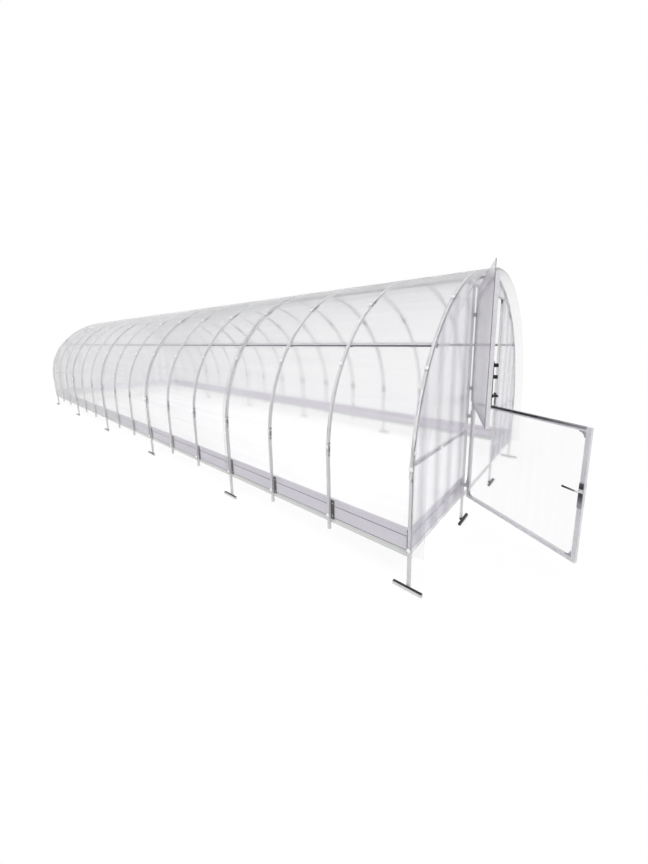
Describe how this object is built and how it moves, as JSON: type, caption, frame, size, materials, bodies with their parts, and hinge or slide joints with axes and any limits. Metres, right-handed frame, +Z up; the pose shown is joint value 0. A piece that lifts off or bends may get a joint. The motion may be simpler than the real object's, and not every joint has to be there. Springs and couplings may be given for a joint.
{
  "type": "polycarbonate greenhouse",
  "caption": "Long arched greenhouse of steel tube ribs under clear sheets, with a skirt board, T-shaped ground feet and a split entrance door.",
  "frame": {"origin": "middle of the footprint, on the ground, with both door leaves open as they stand at rest", "axes": "+Y from the door gable to the back gable, +X to the right as seen from the door, +Z up"},
  "size_m": [2.88, 10.9254, 2.1336],
  "materials": {
    "galvanised_tube": "galvanised, satin",
    "purlin_tube": "galvanised, polished, reads dark",
    "skirt_board": "satin, pressed grooves",
    "polycarbonate": "glossy twin-wall sheet",
    "leaf_tube": "galvanised, satin",
    "leaf_sheet": "glossy twin-wall sheet, white",
    "corner_plate": "satin",
    "handle_black": "satin black",
    "hinge_steel": "zinc plated"
  },
  "bodies": {
    "house": {"t_arch_1": "galvanised_tube", "t_arch_2": "galvanised_tube", "t_arch_3": "galvanised_tube", "t_arch_4": "galvanised_tube", "t_arch_5": "galvanised_tube", "t_arch_6": "galvanised_tube", "rib_pair_1": "galvanised_tube", "rib_pair_2": "galvanised_tube", "rib_pair_3": "galvanised_tube", "rib_pair_4": "galvanised_tube", "rib_pair_5": "galvanised_tube", "purlin_left": "purlin_tube", "purlin_ridge": "purlin_tube", "purlin_right": "purlin_tube", "skirt_left": "skirt_board", "skirt_right": "skirt_board", "skirt_front_left": "skirt_board", "skirt_front_right": "skirt_board", "skirt_back": "skirt_board", "roof_sheet_1": "polycarbonate", "roof_sheet_2": "polycarbonate", "roof_sheet_3": "polycarbonate", "roof_sheet_4": "polycarbonate", "roof_sheet_5": "polycarbonate", "front_sheet_left": "polycarbonate", "front_sheet_right": "polycarbonate", "front_sheet_top": "polycarbonate", "back_sheet": "polycarbonate", "door_post_left": "galvanised_tube", "door_post_right": "galvanised_tube", "lintel": "galvanised_tube", "sill": "galvanised_tube", "front_bars": "galvanised_tube", "back_frame": "galvanised_tube", "hinge_brackets": "hinge_steel"},
    "lower_leaf": {"lower_leaf_frame": "leaf_tube", "lower_leaf_sheet": "leaf_sheet", "lower_leaf_corners": "corner_plate", "lower_leaf_handle": "handle_black"},
    "upper_leaf": {"upper_leaf_frame": "leaf_tube", "upper_leaf_sheet": "leaf_sheet", "upper_leaf_corners": "corner_plate", "upper_leaf_handle": "handle_black"}
  },
  "joints": [
    {"name": "lower_leaf_hinge", "type": "hinge", "parent": "house", "child": "lower_leaf", "pos_m": [-0.459, -4.6726, 0.235], "axis": [0, 0, 1], "range_deg": [-45, 119.2]},
    {"name": "upper_leaf_hinge", "type": "hinge", "parent": "house", "child": "upper_leaf", "pos_m": [-0.459, -4.6726, 1.063], "axis": [0, 0, 1], "range_deg": [0, 158.1]}
  ]
}
